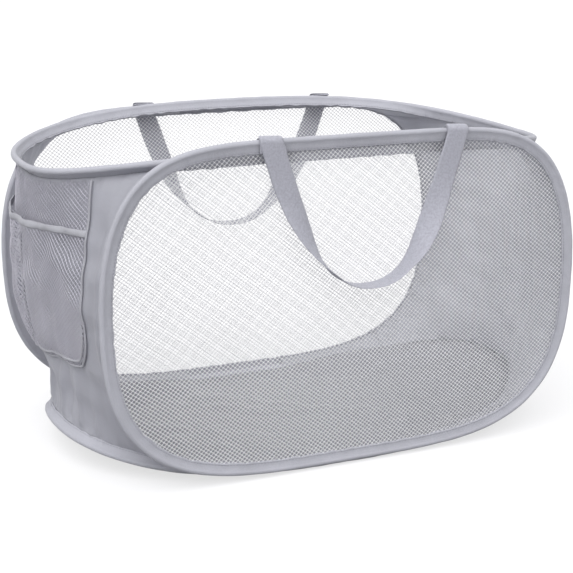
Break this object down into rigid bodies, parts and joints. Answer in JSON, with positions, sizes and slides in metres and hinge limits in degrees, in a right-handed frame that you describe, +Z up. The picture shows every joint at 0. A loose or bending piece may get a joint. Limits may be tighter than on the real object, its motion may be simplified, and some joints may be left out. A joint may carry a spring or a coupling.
{
  "type": "pop up laundry hamper",
  "caption": "Open-topped folding laundry hamper with net sides, fabric ends and base on sprung wire hoops, webbing handles and a net pocket.",
  "frame": {"origin": "centre of the underside, on the floor, midway between the outsides of the handles", "axes": "+X along the length with the pocket on the -X end, the front panel with the nearer handle faces -Y, +Z up"},
  "size_m": [0.6126, 0.394, 0.3621],
  "materials": {
    "binding_fabric": "matt woven tape",
    "nylon_fabric": "thin woven nylon with a faint sheen",
    "net_fabric": "open knitted net",
    "webbing": "matt flat webbing",
    "spring_steel": "plain drawn wire"
  },
  "bodies": {
    "bottom": {"base_binding": "binding_fabric", "base_wire": "spring_steel", "base_ferrule": "spring_steel", "base_panel": "nylon_fabric", "left_end_panel": "nylon_fabric", "right_end_panel": "nylon_fabric", "end_net_strip": "net_fabric", "pocket_net": "net_fabric", "pocket_hem": "binding_fabric", "pocket_front_piping": "binding_fabric", "pocket_back_piping": "binding_fabric", "pocket_foot_piping": "binding_fabric"},
    "front": {"front_binding": "binding_fabric", "front_wire": "spring_steel", "front_ferrule": "spring_steel", "front_net": "net_fabric", "front_left_tab": "webbing", "front_right_tab": "webbing"},
    "back": {"back_binding": "binding_fabric", "back_wire": "spring_steel", "back_ferrule": "spring_steel", "back_net": "net_fabric", "back_left_tab": "webbing", "back_right_tab": "webbing"},
    "top": {"rim_binding": "binding_fabric", "rim_wire": "spring_steel", "rim_ferrule": "spring_steel"},
    "front_strap": {"front_handle": "webbing"},
    "back_strap": {"back_handle": "webbing"}
  },
  "joints": [
    {"name": "front_fold", "type": "hinge", "parent": "bottom", "child": "front", "pos_m": [0, -0.16965, 0.00726], "axis": [-1, 0, 0], "range_deg": [0, 68], "stiffness_Nm_per_rad": 4, "springref_deg": -5.73, "deforming": ["left_end_panel", "right_end_panel", "end_net_strip", "pocket_net", "pocket_hem", "pocket_front_piping", "pocket_back_piping", "pocket_foot_piping"]},
    {"name": "top_fold", "type": "hinge", "parent": "front", "child": "top", "pos_m": [0, -0.16965, 0.35726], "axis": [-1, 0, 0], "range_deg": [-68, 0]},
    {"name": "back_fold", "type": "hinge", "parent": "bottom", "child": "back", "pos_m": [0, 0.16965, 0.0035], "axis": [-1, 0, 0], "range_deg": [0, 68]},
    {"name": "front_handle_swing", "type": "hinge", "parent": "front", "child": "front_strap", "pos_m": [0, -0.17545, 0.35826], "axis": [-1, 0, 0], "range_deg": [0, 200]},
    {"name": "back_handle_swing", "type": "hinge", "parent": "back", "child": "back_strap", "pos_m": [0, 0.17545, 0.3545], "axis": [1, 0, 0], "range_deg": [0, 200]}
  ],
  "couplings": [
    {"joint": "top_fold", "follows": "front_fold", "ratio": -1},
    {"joint": "back_fold", "follows": "front_fold", "ratio": 1}
  ]
}
